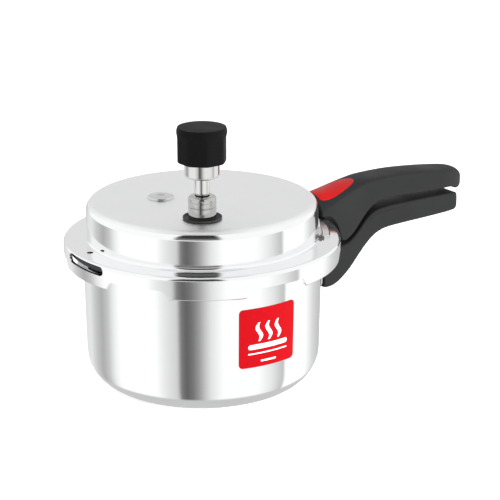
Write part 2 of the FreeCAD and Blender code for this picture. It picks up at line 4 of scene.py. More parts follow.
import bmesh
import bpy
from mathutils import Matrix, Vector


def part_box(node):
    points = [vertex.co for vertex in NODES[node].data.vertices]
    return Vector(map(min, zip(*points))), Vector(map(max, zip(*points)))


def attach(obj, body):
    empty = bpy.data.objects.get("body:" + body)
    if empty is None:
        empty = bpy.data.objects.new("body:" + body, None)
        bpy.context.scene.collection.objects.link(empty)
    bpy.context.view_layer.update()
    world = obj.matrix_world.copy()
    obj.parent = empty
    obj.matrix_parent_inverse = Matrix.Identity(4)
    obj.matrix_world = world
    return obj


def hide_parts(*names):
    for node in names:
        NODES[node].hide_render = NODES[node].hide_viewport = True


# Stovetop pressure cooker: finish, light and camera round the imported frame.
# Outlines are in millimetres and mesh_object() turns them into metres.

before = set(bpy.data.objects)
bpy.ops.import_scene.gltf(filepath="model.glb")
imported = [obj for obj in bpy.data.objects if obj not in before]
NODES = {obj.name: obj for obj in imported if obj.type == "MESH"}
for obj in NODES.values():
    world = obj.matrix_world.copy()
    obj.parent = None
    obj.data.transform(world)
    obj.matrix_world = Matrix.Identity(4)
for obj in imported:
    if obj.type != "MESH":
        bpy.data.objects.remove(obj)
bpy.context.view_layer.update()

MM = 0.001

# Driving sizes of the object, in millimetres.
PAN_R = 82.5
PAN_TOP_R = 83.9
PAN_WALL = 2.5
PAN_BASE = 3.5
WALL_Z = (24.5, 97.9)      # the wall grows from PAN_R to PAN_TOP_R between these heights
RIM_Z = 101.5
CROWN_R = 81.2
CROWN_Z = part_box("cooker_lid")[1].z / MM
CROWN_ROUND = 7.0
FLANGE_Z = 105.8
SKIRT_R = 97.2
SHEET = 2.0
LUGS = 6


# --- outlines -------------------------------------------------------------------

def rounded(points, steps=5):
    """Open polyline with rounded corners. A point is (r, z) or (r, z, corner radius)."""
    out = []
    last = len(points) - 1
    for i, point in enumerate(points):
        here = Vector(point[:2])
        radius = point[2] if len(point) == 3 else 0.0
        if radius == 0.0 or i in (0, last):
            out.append(tuple(here))
            continue
        before = (Vector(points[i - 1][:2]) - here).normalized()
        after = (Vector(points[i + 1][:2]) - here).normalized()
        half = before.angle(after) / 2.0
        reach = radius / math.tan(half)
        centre = here + (before + after).normalized() * (radius / math.sin(half))
        first = here + before * reach - centre
        final = here + after * reach - centre
        sweep = math.pi - 2.0 * half
        for k in range(steps + 1):
            t = k / steps
            a = math.sin((1.0 - t) * sweep) / math.sin(sweep)
            b = math.sin(t * sweep) / math.sin(sweep)
            out.append(tuple(centre + first * a + final * b))
    return out


def smooth_step(t):
    t = min(1.0, max(0.0, t))
    return t * t * (3.0 - 2.0 * t)


def through(keys):
    """Smooth curve through (x, value) keys, as a function of x."""
    xs = [k[0] for k in keys]
    ys = [k[1] for k in keys]
    slopes = []
    for i in range(len(keys)):
        lo = max(0, i - 1)
        hi = min(len(keys) - 1, i + 1)
        slopes.append((ys[hi] - ys[lo]) / (xs[hi] - xs[lo]))
    for i in range(1, len(keys) - 1):
        if (ys[i] - ys[i - 1]) * (ys[i + 1] - ys[i]) <= 0.0:
            slopes[i] = 0.0

    def value(x):
        x = min(xs[-1], max(xs[0], x))
        i = min(len(xs) - 2, max(0, bisect.bisect_right(xs, x) - 1))
        h = xs[i + 1] - xs[i]
        t = (x - xs[i]) / h
        a = (1 + 2 * t) * (1 - t) ** 2 * ys[i] + t * (1 - t) ** 2 * h * slopes[i]
        b = t * t * (3 - 2 * t) * ys[i + 1] + t * t * (t - 1) * h * slopes[i + 1]
        return a + b

    return value


# --- meshes ------------------------------------------------------------------------

def mesh_object(name, verts, faces, material, sharp=35.0):
    mesh = bpy.data.meshes.new(name)
    mesh.from_pydata([(x * MM, y * MM, z * MM) for x, y, z in verts], [], faces)
    bm = bmesh.new()
    bm.from_mesh(mesh)
    bmesh.ops.remove_doubles(bm, verts=bm.verts, dist=1e-6)
    bmesh.ops.recalc_face_normals(bm, faces=bm.faces)
    bm.to_mesh(mesh)
    bm.free()
    mesh.shade_smooth()
    mesh.set_sharp_from_angle(angle=math.radians(sharp))
    mesh.materials.append(material)
    obj = bpy.data.objects.new(name, mesh)
    bpy.context.collection.objects.link(obj)
    return obj


def grid_faces(rows, columns, wrap_columns=False, wrap_rows=False):
    faces = []
    for i in range(rows if wrap_rows else rows - 1):
        for j in range(columns if wrap_columns else columns - 1):
            a = i * columns + j
            b = i * columns + (j + 1) % columns
            c = ((i + 1) % rows) * columns + (j + 1) % columns
            d = ((i + 1) % rows) * columns + j
            faces.append((a, b, c, d))
    return faces


def ring_points(centre, r, z, segments):
    """One level ring of points round a centre."""
    angles = [2.0 * math.pi * j / segments for j in range(segments)]
    return [(centre[0] + r * math.cos(a), centre[1] + r * math.sin(a), z) for a in angles]


def lathe(name, profile, material, centre=(0.0, 0.0), segments=96):
    """Turned ring; the profile is a closed loop of (r, z) points."""
    verts = []
    for r, z in profile:
        verts += ring_points(centre, r, z, segments)
    return mesh_object(name, verts, grid_faces(len(profile), segments, True, True), material)


def shaped_lathe(name, columns, material, sharp=35.0):
    """Turned piece whose outline changes on the way round: one open outline per step of the circle."""
    rows = len(columns[0])
    verts = []
    for i in range(rows):
        for j, column in enumerate(columns):
            a = 2.0 * math.pi * j / len(columns)
            r, z = column[i]
            verts.append((r * math.cos(a), r * math.sin(a), z))
    return mesh_object(name, verts, grid_faces(rows, len(columns), True), material, sharp)


def finish_piece(obj, body, slot, *nodes):
    """Puts a piece on its body, in place of the CAD nodes that it shows."""
    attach(obj, body)
    if nodes:
        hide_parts(*nodes)


def dress(node, material):
    """Gives a CAD node its finish."""
    mesh = NODES[node].data
    mesh.materials.clear()
    mesh.materials.append(material)


# --- materials -----------------------------------------------------------------------

class Nodes:
    """A node tree with a few helpers."""

    def __init__(self, tree):
        self.tree = tree

    def node(self, kind, **settings):
        made = self.tree.nodes.new(kind)
        for key, value in settings.items():
            setattr(made, key, value)
        return made

    def link(self, source, target):
        """Links an output to an input; a plain number is written into the input."""
        if isinstance(source, (int, float)):
            target.default_value = source
        else:
            self.tree.links.new(source, target)

    def math(self, operation, a, b=None):
        made = self.node("ShaderNodeMath", operation=operation)
        self.link(a, made.inputs[0])
        if b is not None:
            self.link(b, made.inputs[1])
        return made.outputs[0]

    def split(self, vector):
        made = self.node("ShaderNodeSeparateXYZ")
        self.link(vector, made.inputs[0])
        return made.outputs


class Finish(Nodes):
    """A Principled material with a few helpers for its node tree."""

    def __init__(self, name, color, roughness, metallic=0.0):
        self.material = bpy.data.materials.new(name)
        self.material.use_nodes = True
        super().__init__(self.material.node_tree)
        self.shader = self.tree.nodes["Principled BSDF"]
        self.set("Base Color", (*color, 1.0))
        self.set("Roughness", roughness)
        self.set("Metallic", metallic)
        self.place = self.node("ShaderNodeTexCoord").outputs["Object"]

    def set(self, socket, value):
        self.shader.inputs[socket].default_value = value

    def spun(self, across, around):
        """Coordinates that run round the pan's axis: fine across the turning marks, long along them."""
        x, y, z = self.split(self.place)
        squares = self.math("ADD", self.math("MULTIPLY", x, x), self.math("MULTIPLY", y, y))
        joined = self.node("ShaderNodeCombineXYZ")
        self.link(self.math("MULTIPLY", self.math("SQRT", squares), across), joined.inputs[0])
        self.link(self.math("MULTIPLY", z, across), joined.inputs[1])
        self.link(self.math("MULTIPLY", self.math("ARCTAN2", y, x), around), joined.inputs[2])
        return joined.outputs[0]

    def noise(self, vector, scale, detail=3.0, roughness=0.5):
        made = self.node("ShaderNodeTexNoise")
        made.inputs["Scale"].default_value = scale
        made.inputs["Detail"].default_value = detail
        made.inputs["Roughness"].default_value = roughness
        self.link(vector, made.inputs["Vector"])
        return made.outputs["Fac"]

    def between(self, factor, low, high, floor=0.3, ceiling=0.7):
        """low up to where the factor is floor, high from where it is ceiling on."""
        made = self.node("ShaderNodeMapRange", clamp=True)
        made.inputs["From Min"].default_value = floor
        made.inputs["From Max"].default_value = ceiling
        made.inputs["To Min"].default_value = low
        made.inputs["To Max"].default_value = high
        self.link(factor, made.inputs["Value"])
        return made.outputs["Result"]

    def mix(self, factor, a, b):
        made = self.node("ShaderNodeMix", data_type="RGBA")
        made.inputs[6].default_value = (*a, 1.0)
        made.inputs[7].default_value = (*b, 1.0)
        self.link(factor, made.inputs[0])
        return made.outputs[2]

    def bump(self, height, strength, distance):
        made = self.node("ShaderNodeBump")
        made.inputs["Strength"].default_value = strength
        made.inputs["Distance"].default_value = distance
        self.link(height, made.inputs["Height"])
        self.link(made.outputs["Normal"], self.shader.inputs["Normal"])


SATIN_ROUGHNESS = 0.32     # what the satin top of the lid adds
SATIN_EDGE = 0.3           # height over which the polish turns into satin


def polished_aluminium(name, roughness, satin_from=None):
    """Polished metal with turning marks; from the height satin_from up it is satin."""
    f = Finish(name, (0.9, 0.905, 0.91), roughness, 1.0)
    lines = f.noise(f.spun(1400.0, 1.2), 1.0, 4.0, 0.6)
    clouds = f.noise(f.place, 22.0, 4.0)
    gloss = f.between(lines, roughness * 0.8, roughness * 1.3)
    if satin_from is not None:
        height = f.split(f.place)[2]
        top = f.between(height, 0.0, SATIN_ROUGHNESS, satin_from * MM, (satin_from + SATIN_EDGE) * MM)
        gloss = f.math("ADD", gloss, top)
    f.link(gloss, f.shader.inputs["Roughness"])
    f.link(f.mix(clouds, (0.87, 0.875, 0.885), (0.93, 0.933, 0.935)), f.shader.inputs["Base Color"])
    f.bump(lines, 0.2, 0.00002)
    return f.material


def bakelite(name, shade, specular):
    f = Finish(name, (shade, shade, shade), 0.5)
    f.set("Specular IOR Level", specular)
    grain = f.noise(f.place, 1500.0, 3.0)
    clouds = f.noise(f.place, 45.0, 3.0)
    f.link(f.between(clouds, 0.42, 0.56), f.shader.inputs["Roughness"])
    dark = [shade * part for part in (0.82, 0.84, 0.86)]
    light = [shade * part for part in (1.12, 1.14, 1.16)]
    f.link(f.mix(clouds, dark, light), f.shader.inputs["Base Color"])
    f.bump(grain, 0.25, 0.00004)
    return f.material


def coloured_plastic(name, dark, light, roughness, specular=0.5):
    f = Finish(name, light, roughness)
    f.set("Specular IOR Level", specular)
    clouds = f.noise(f.place, 60.0, 3.0)
    grain = f.noise(f.place, 1800.0, 2.0)
    f.link(f.mix(clouds, dark, light), f.shader.inputs["Base Color"])
    f.link(f.between(clouds, roughness * 0.85, roughness * 1.2), f.shader.inputs["Roughness"])
    f.bump(grain, 0.15, 0.00003)
    return f.material


def rubber(name):
    f = Finish(name, (0.018, 0.018, 0.018), 0.62)
    grain = f.noise(f.place, 1100.0, 3.0)
    dust = f.noise(f.place, 120.0, 4.0)
    f.link(f.mix(dust, (0.014, 0.014, 0.014), (0.03, 0.03, 0.03)), f.shader.inputs["Base Color"])
    f.link(f.between(dust, 0.5, 0.75), f.shader.inputs["Roughness"])
    f.bump(grain, 0.3, 0.00005)
    return f.material


def bright_metal(name, dark, light, roughness):
    f = Finish(name, light, roughness, 1.0)
    grain = f.noise(f.place, 900.0, 3.0)
    clouds = f.noise(f.place, 90.0, 3.0)
    f.link(f.mix(clouds, dark, light), f.shader.inputs["Base Color"])
    f.link(f.between(clouds, roughness * 0.7, roughness * 1.4), f.shader.inputs["Roughness"])
    f.bump(grain, 0.04, 0.00002)
    return f.material


PAN_METAL = polished_aluminium("pan_polished_aluminium", 0.08)
LID_METAL = polished_aluminium("lid_polished_aluminium", 0.09, CROWN_Z - 2.7)
BLACK = bakelite("black_bakelite", 0.018, 0.1)
CAP_BLACK = bakelite("cap_bakelite", 0.004, 0.08)
RED = coloured_plastic("red_plastic", (0.44, 0.003, 0.003), (0.50, 0.006, 0.005), 0.36, 0.12)
LABEL_RED = coloured_plastic("label_red_film", (0.31, 0.001, 0.004), (0.34, 0.002, 0.005), 0.5, 0.06)
LABEL_WHITE = coloured_plastic("label_white_ink", (0.82, 0.8, 0.78), (0.9, 0.89, 0.87), 0.35)
RUBBER = rubber("black_rubber")
CHROME = bright_metal("chromed_brass", (0.64, 0.64, 0.63), (0.74, 0.74, 0.73), 0.07)
# The vent collar is the same chromed brass as the tube. Its colour is darkened to paint in dark reflections
# that the studio does not give it, so this is painted shade.
CHROME_PAINTED_SHADE = bright_metal("chrome_painted_dark_reflection", (0.44, 0.44, 0.43), (0.54, 0.54, 0.53), 0.05)
SATIN = bright_metal("satin_steel", (0.62, 0.62, 0.62), (0.72, 0.72, 0.71), 0.2)
STEEL = bright_metal("bright_steel", (0.66, 0.66, 0.66), (0.78, 0.78, 0.77), 0.2)
RIVET_METAL = bright_metal("rivet_aluminium", (0.78, 0.78, 0.79), (0.88, 0.88, 0.89), 0.24)
BRASS = bright_metal("plain_brass", (0.6, 0.42, 0.16), (0.75, 0.56, 0.25), 0.25)
SOLDER = bright_metal("fusible_metal", (0.5, 0.5, 0.5), (0.62, 0.62, 0.61), 0.4)


# --- pan ---------------------------------------------------------------------------------

SEGMENTS = 720             # steps round the pan and the lid
PAN_RIM_R = 87.6
PAN_LUG_REACH = 4.2        # how far a lug stands out past the rim
PAN_LIP_Z = 96.9
PAN_LUG_DROP = 4.3         # how much lower the lip hangs on a lug
PAN_STEP_Z = 99.5          # underside of the rim


def lug_factor(angle, half, ramp):
    """1 on a lug, 0 between lugs; angle, half width and ramp are in degrees."""
    pitch = 360.0 / LUGS
    away = abs((angle + pitch / 2.0) % pitch - pitch / 2.0)
    return smooth_step((half - away) / ramp + 0.5)


def wall_r(z):
    """Outer radius of the pan's wall, which leans out a little."""
    return PAN_R + (z - WALL_Z[0]) * (PAN_TOP_R - PAN_R) / (WALL_Z[1] - WALL_Z[0])


def pan_profile(k):
    """Outline of the pan's section from the middle underneath to the middle inside; k is 1 on a lug."""
    rim = PAN_RIM_R + PAN_LUG_REACH * k
    lip = PAN_LIP_Z - PAN_LUG_DROP * k
    outside = [(wall_r(z), z) for z in (40.0, 70.0)]
    inside = [(wall_r(z) - PAN_WALL, z) for z in (80.0, 40.0)]
    return rounded([
        (0.0, 0.0), (30.0, 0.0), (58.0, 0.0), (wall_r(0.0), 0.0, 24.4), *outside,
        (wall_r(PAN_STEP_Z), PAN_STEP_Z, 1.6), (rim - 2.0, PAN_STEP_Z, 0.3), (rim - 2.0, lip, 0.3),
        (rim, lip, 0.3), (rim, RIM_Z, 0.8), (wall_r(RIM_Z) - PAN_WALL, RIM_Z, 2.1), *inside,
        (wall_r(PAN_BASE) - PAN_WALL, PAN_BASE, 21.9), (30.0, PAN_BASE), (0.0, PAN_BASE),
    ], 9)


def pan():
    columns = [pan_profile(lug_factor(360.0 * j / SEGMENTS, 12.0, 1.2)) for j in range(SEGMENTS)]
    obj = shaped_lathe("pan_shell", columns, PAN_METAL)
    finish_piece(obj, "pan", "pan_aluminium", "cooker_pan")


# --- label ----------------------------------------------------------------------------------

LABEL_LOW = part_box("pan_label")[0] / MM
LABEL_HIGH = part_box("pan_label")[1] / MM
LABEL_ANGLE = -90.0
LABEL_CORNER = 3.0
FILM = (0.03, 0.26)        # how far the red film and the ink stand off the wall
INK = (0.2, 0.31)
STRIP_WIDTH = 1.5


def on_wall(u, z, out):
    """Point on the pan wall: u is the distance round it from the label's middle."""
    a = math.radians(LABEL_ANGLE) + u / PAN_R
    r = wall_r(z) + out
    return (r * math.cos(a), r * math.sin(a), z)


def wall_plate(name, outline, faces_at, material):
    """Thin plate on the pan wall, cut into strips so that it bends with the wall.

    The outline is a closed loop of (u, z) points; faces_at is how far its two faces are from the wall.
    """
    bm = bmesh.new()
    bm.faces.new([bm.verts.new((u, z, 0.0)) for u, z in outline])
    bmesh.ops.triangulate(bm, faces=bm.faces)
    start = min(u for u, z in outline)
    width = max(u for u, z in outline) - start
    cuts = int(width / STRIP_WIDTH)
    for i in range(1, cuts + 1):
        at = start + width * i / (cuts + 1)
        geometry = bm.verts[:] + bm.edges[:] + bm.faces[:]
        bmesh.ops.bisect_plane(bm, geom=geometry, plane_co=(at, 0, 0), plane_no=(1, 0, 0))
    extruded = bmesh.ops.extrude_face_region(bm, geom=bm.faces[:])
    for item in extruded["geom"]:
        if isinstance(item, bmesh.types.BMVert):
            item.co.z = 1.0
    bm.verts.index_update()
    verts = [on_wall(p.co.x, p.co.y, faces_at[1] if p.co.z > 0.5 else faces_at[0]) for p in bm.verts]
    faces = [[p.index for p in f.verts] for f in bm.faces]
    bm.free()
    return mesh_object(name, verts, faces, material)


def rounded_rectangle(u0, u1, z0, z1, radius, steps=6):
    out = []
    corners = [(u1 - radius, z0 + radius, -90), (u1 - radius, z1 - radius, 0),
               (u0 + radius, z1 - radius, 90), (u0 + radius, z0 + radius, 180)]
    for u, z, start in corners:
        for k in range(steps + 1):
            a = math.radians(start + 90.0 * k / steps)
            out.append((u + radius * math.cos(a), z + radius * math.sin(a)))
    return out


def steam_line(centre, low, high, swing, thick):
    """Closed outline of one wavy line that rises from low to high."""
    left = []
    right = []
    for k in range(19):
        t = k / 18.0
        u = centre + swing * math.sin(2.0 * math.pi * t)
        half = thick * (0.35 + 0.65 * math.sin(math.pi * min(0.98, max(0.02, t))))
        left.append((u - half, low + (high - low) * t))
        right.append((u + half, low + (high - low) * t))
    return right + left[::-1]


def label():
    half_chord = (LABEL_HIGH.x - LABEL_LOW.x) / 2.0
    half = PAN_R * math.asin(min(1.0, half_chord / PAN_R))
    z0 = LABEL_LOW.z
    outline = rounded_rectangle(-half, half, z0, LABEL_HIGH.z, LABEL_CORNER)
    finish_piece(wall_plate("label_film", outline, FILM, LABEL_RED), "pan", "printed_label", "pan_label")
    prints = [rounded_rectangle(-15.5, 15.5, z0 + 13.0, z0 + 16.4, 1.5),
              rounded_rectangle(-15.5, 15.5, z0 + 9.4, z0 + 10.3, 0.4),
              rounded_rectangle(-6.0, 6.0, z0 + 3.4, z0 + 4.6, 0.55)]
    for i in range(3):
        prints.append(steam_line(-7.5 + 7.5 * i, z0 + 18.6, z0 + 32.0, 1.5, 1.6))
    for i, outline in enumerate(prints):
        ink = wall_plate("label_print_%d" % (i + 1), outline, INK, LABEL_WHITE)
        finish_piece(ink, "pan", "printed_label")


# --- lid -------------------------------------------------------------------------------------

SLOT_ANGLE = 181.8
SLOT_HALF = 22.0
SLOT_Z = (98.4, 104.7)
SLOT_MID_Z = sum(SLOT_Z) / 2.0
SKIRT_ROUND = 2.8
SKIRT_LOW_Z = SLOT_Z[0] - 0.6
SKIRT_ROWS = 14
HOOK_ROWS = 18
GAP_END = 0.125            # between lugs the skirt ends at this part of a lug's outline
SIGHT_ANGLE = 176.0
SIGHT_R = 86.6
SIGHT_HOLE_R = 2.25


def lid_upper():
    """Outer outline of the lid from its centre down the skirt, with close rows for the two openings."""
    top = [(r, CROWN_Z) for r in (0.0, 20.0, 40.0, 55.0, 66.0)]
    flange = [(84.0 + 0.7 * i, FLANGE_Z) for i in range(9)] + [(92.0, FLANGE_Z)]
    shape = rounded([
        *top, (CROWN_R, CROWN_Z, CROWN_ROUND), (CROWN_R, 118.0), (CROWN_R, FLANGE_Z, 2.0), *flange,
        (SKIRT_R, FLANGE_Z, SKIRT_ROUND), (SKIRT_R, FLANGE_Z - SKIRT_ROUND - 0.3),
    ], 9)
    high = shape[-1][1]
    for k in range(1, SKIRT_ROWS + 1):
        shape.append((SKIRT_R, high + (SKIRT_LOW_Z - high) * k / SKIRT_ROWS))
    return shape


def skirt_path():
    """Outer outline of a lug from the straight skirt down to the tip of its hook."""
    return rounded([(SKIRT_R, SKIRT_LOW_Z), (SKIRT_R - 0.1, 97.0, 3.0), (96.1, 88.8, 2.7), (88.9, 88.8)], 8)


def along(path, t):
    """Point at the fraction t of the path's length."""
    lengths = [0.0]
    for a, b in zip(path, path[1:]):
        lengths.append(lengths[-1] + (Vector(b) - Vector(a)).length)
    at = t * lengths[-1]
    i = min(len(path) - 2, max(0, bisect.bisect_right(lengths, at) - 1))
    s = (at - lengths[i]) / (lengths[i + 1] - lengths[i])
    return tuple(Vector(path[i]).lerp(Vector(path[i + 1]), s))


def lid():
    upper = lid_upper()
    path = skirt_path()
    columns = []
    for j in range(SEGMENTS):
        k = lug_factor(360.0 * j / SEGMENTS, 15.4, 7.0)
        end = GAP_END + (1.0 - GAP_END) * k
        columns.append(upper + [along(path, end * (i + 1) / HOOK_ROWS) for i in range(HOOK_ROWS)])
    obj = shaped_lathe("lid_shell", columns, LID_METAL, 60.0)
    open_slot(obj.data)
    open_sight_hole(obj.data)
    give_thickness(obj)
    finish_piece(obj, "lid", "lid_aluminium", "cooker_lid")


def give_thickness(obj):
    """Makes sheet metal of the outer surface and softens its edges."""
    sheet = obj.modifiers.new("sheet", "SOLIDIFY")
    sheet.thickness = SHEET * MM
    sheet.offset = -1.0
    sheet.use_even_offset = True
    edge = obj.modifiers.new("edge", "BEVEL")
    edge.width = 0.35 * MM
    edge.segments = 2
    edge.limit_method = "ANGLE"
    edge.angle_limit = math.radians(60.0)
    edge.harden_normals = True


def punch(mesh, inside, snap):
    """Removes faces whose middle is inside, and moves the new edge onto the outline."""
    bm = bmesh.new()
    bm.from_mesh(mesh)
    old_edges = {v for e in bm.edges if e.is_boundary for v in e.verts}
    gone = [f for f in bm.faces if inside(f.calc_center_median() / MM)]
    bmesh.ops.delete(bm, geom=gone, context="FACES")
    fresh = {v for e in bm.edges if e.is_boundary for v in e.verts if v not in old_edges}
    for vert in fresh:
        vert.co = snap(vert.co / MM) * MM
    bm.to_mesh(mesh)
    bm.free()


def slot_place(p):
    """Distance round the skirt from the middle of the slot, and height above it."""
    angle = math.atan2(p.y, p.x) % (2.0 * math.pi) - math.radians(SLOT_ANGLE)
    return angle * SKIRT_R, p.z - SLOT_MID_Z


def open_slot(mesh):
    r = (SLOT_Z[1] - SLOT_Z[0]) / 2.0
    straight = SLOT_HALF - r

    def inside(p):
        if p.x > -90.0 or math.hypot(p.x, p.y) < SKIRT_R - 0.9:
            return False
        u, h = slot_place(p)
        return math.hypot(max(0.0, abs(u) - straight), h) < r

    def snap(p):
        u, h = slot_place(p)
        core = min(straight, max(-straight, u))
        out = Vector((u - core, h))
        out = out.normalized() * r if out.length > 0.0 else Vector((0.0, r))
        angle = math.radians(SLOT_ANGLE) + (core + out.x) / SKIRT_R
        z = SLOT_MID_Z + out.y
        above = max(0.0, z - FLANGE_Z + SKIRT_ROUND)
        reach = SKIRT_R - SKIRT_ROUND + math.sqrt(SKIRT_ROUND ** 2 - above ** 2)
        return Vector((reach * math.cos(angle), reach * math.sin(angle), z))

    punch(mesh, inside, snap)


def open_sight_hole(mesh):
    a = math.radians(SIGHT_ANGLE)
    middle = Vector((SIGHT_R * math.cos(a), SIGHT_R * math.sin(a), FLANGE_Z))

    def inside(p):
        return abs(p.z - FLANGE_Z) < 0.2 and (p - middle).length < SIGHT_HOLE_R

    def snap(p):
        return middle + (p - middle).normalized() * SIGHT_HOLE_R

    punch(mesh, inside, snap)


def sealing_ring():
    lip = 99.8
    z0 = RIM_Z + 0.1
    z1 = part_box("sealing_ring")[1].z / MM
    mid = (z0 + z1) / 2.0
    profile = rounded([
        (86.0, z0), (92.2, z0), (92.2, lip, 0.3), (94.1, lip, 0.4), (94.1, z1, 0.9), (81.6, z1, 0.25),
        (82.8, mid, 0.3), (81.6, z0, 0.25), (85.9, z0),
    ])
    obj = lathe("sealing_ring_seen", profile, RUBBER, segments=240)
    finish_piece(obj, "gasket", "black_rubber", "sealing_ring")


# --- handles -------------------------------------------------------------------------------------

def bezier(p0, p1, p2, p3, t):
    s = 1.0 - t
    return tuple(
        s ** 3 * a + 3 * s * s * t * b + 3 * s * t * t * c + t ** 3 * d
        for a, b, c, d in zip(p0, p1, p2, p3)
    )


LID_HANDLE_HALF = through([
    (91.0, 17.2), (100.0, 16.6), (107.0, 15.9), (113.0, 15.1), (119.0, 14.3), (125.0, 13.6), (131.0, 13.0),
    (138.0, 12.6), (150.0, 12.35), (204.0, 12.3), (212.0, 11.9), (218.0, 10.8), (223.0, 9.3), (227.0, 7.1),
    (229.4, 4.7), (230.1, 2.4),
])
LID_HANDLE_SIDE = through([
    (91.0, 109.6), (94.0, 110.9), (100.0, 113.5), (107.0, 116.3), (113.0, 118.5), (119.0, 120.3),
    (125.0, 121.9), (131.0, 123.4), (138.0, 124.9), (148.0, 125.5), (160.0, 125.7), (172.0, 125.2),
    (196.0, 123.3), (210.0, 121.6), (219.0, 120.3), (224.5, 118.0), (228.0, 115.4), (230.1, 112.4),
])
LID_HANDLE_TOP = through([
    (91.0, 119.0), (96.0, 120.4), (107.0, 121.9), (119.0, 124.0), (131.0, 125.9), (141.0, 126.9),
    (155.0, 127.4), (165.0, 127.4), (178.0, 126.9), (196.0, 125.4), (208.0, 124.1), (217.0, 123.2),
    (222.5, 122.2), (226.0, 120.3), (228.6, 117.4), (230.1, 113.6),
])
LID_HANDLE_LOW = through([
    (91.0, 106.4), (95.6, 106.2), (99.6, 104.9), (103.7, 101.2), (107.2, 95.4), (109.2, 89.6), (110.6, 86.4),
    (112.4, 84.95), (114.6, 84.8), (117.8, 86.0), (123.2, 89.6), (129.2, 96.0), (135.2, 102.2),
    (140.3, 106.1), (145.3, 108.5), (150.2, 109.7), (156.3, 110.1), (178.0, 109.3), (200.0, 108.9),
    (212.5, 109.0), (217.0, 108.4), (220.6, 106.9), (224.0, 106.4), (227.2, 107.2), (229.2, 109.0),
    (230.1, 111.0),
])


def handle_arch(x, t):
    """Half of the crowned top at x: t runs from the side (0) to the middle (1)."""
    half = LID_HANDLE_HALF(x)
    side = LID_HANDLE_SIDE(x)
    top = LID_HANDLE_TOP(x)
    rise = top - side
    root = smooth_step((140.0 - x) / 40.0)
    inward = 0.06 + 0.04 * root
    shoulder = 0.64 - 0.09 * root
    return bezier((half, side), (half * (1.0 - inward), side + (0.62 - 0.17 * root) * rise),
                  (half * shoulder, top), (0.0, top), t)


def handle_height(x, y):
    """Height of the crowned top over the point (x, y)."""
    low = 0.0
    high = 1.0
    for _ in range(24):
        mid = (low + high) / 2.0
        if handle_arch(x, mid)[0] > abs(y):
            low = mid
        else:
            high = mid
    return handle_arch(x, high)[1]


def section(half, low, side, arch, radius):
    """Half outline of a handle section as (y, z), from the middle underneath to the middle on top.

    Every section has the same number of points, so that the sections join into one mesh.
    """
    points = [(half * k / 5.0 * 0.99, low) for k in range(5) if half * k / 5.0 < half - radius]
    for k in range(6):
        a = math.radians(-90.0 + 18.0 * k)
        points.append((half - radius + radius * math.cos(a), low + radius + radius * math.sin(a)))
    while len(points) < 11:
        points.insert(0, points[0])
    for k in range(1, 6):
        t = k / 6.0
        points.append((half, low + radius + (side - low - radius) * t))
    return points + arch


def handle_mesh(name, stations, half_section, material):
    verts = []
    count = 0
    for x in stations:
        outline = half_section(x)
        ring = [(x, y, z) for y, z in outline] + [(x, -y, z) for y, z in outline[-2:0:-1]]
        count = len(ring)
        verts += ring
    rows = len(stations)
    faces = grid_faces(rows, count, True)
    faces.append(tuple(range(count)))
    faces.append(tuple(range((rows - 1) * count, rows * count)))
    return mesh_object(name, verts, faces, material, 32.0)


def inset_ends(x, first, last, reach):
    """How far a section is pulled in near the two ends, which rounds them."""
    near = min(x - first, last - x)
    if near >= reach:
        return 0.0
    return reach - math.sqrt(reach * reach - (reach - near) ** 2)


def spaced(first, last, fine, coarse, zones):
    """Stations from first to last: fine steps inside the zones, coarse ones elsewhere."""
    out = [first]
    while out[-1] < last - 1e-6:
        x = out[-1]
        step = fine if any(a <= x < b for a, b in zones) else coarse
        out.append(min(last, x + step))
    return out


def lid_handle():
    first = 91.0
    last = 230.1

    def half_section(x):
        pull = inset_ends(x, first, last + 20.0, 1.2)
        half = LID_HANDLE_HALF(x) - pull
        low = LID_HANDLE_LOW(x) + 0.3 * pull
        side = max(LID_HANDLE_SIDE(x), low + 0.5)
        radius = min(1.6, 0.3 * half, 0.45 * (side - low))
        arch = []
        for k in range(15):
            y, z = handle_arch(x, k / 14.0)
            arch.append((y * half / LID_HANDLE_HALF(x), max(z - pull, side)))
        return section(half, low, side, arch, radius)

    stations = spaced(first, last, 0.3, 1.5, [(91.0, 92.5), (105.0, 118.0), (214.0, 231.0)])
    obj = handle_mesh("lid_handle_grip", stations, half_section, BLACK)
    finish_piece(obj, "lid", "black_bakelite", "lid_handle")


INSERT_X = (94.2, 130.1)
INSERT_PROUD = 0.13        # how far the red insert stands out of the handle
INSERT_SUNK = 0.12         # how far its edge lies under the handle's surface
INSERT_EDGE = 0.9          # width of its rounded edge
INSERT_DEPTH = 1.4
INSERT_HALF = through([
    (94.2, 10.0), (96.0, 11.4), (99.0, 12.4), (104.0, 12.5), (112.0, 11.4), (119.0, 9.6), (124.5, 7.3),
    (128.0, 4.5), (129.6, 2.2), (130.1, 0.15),
])


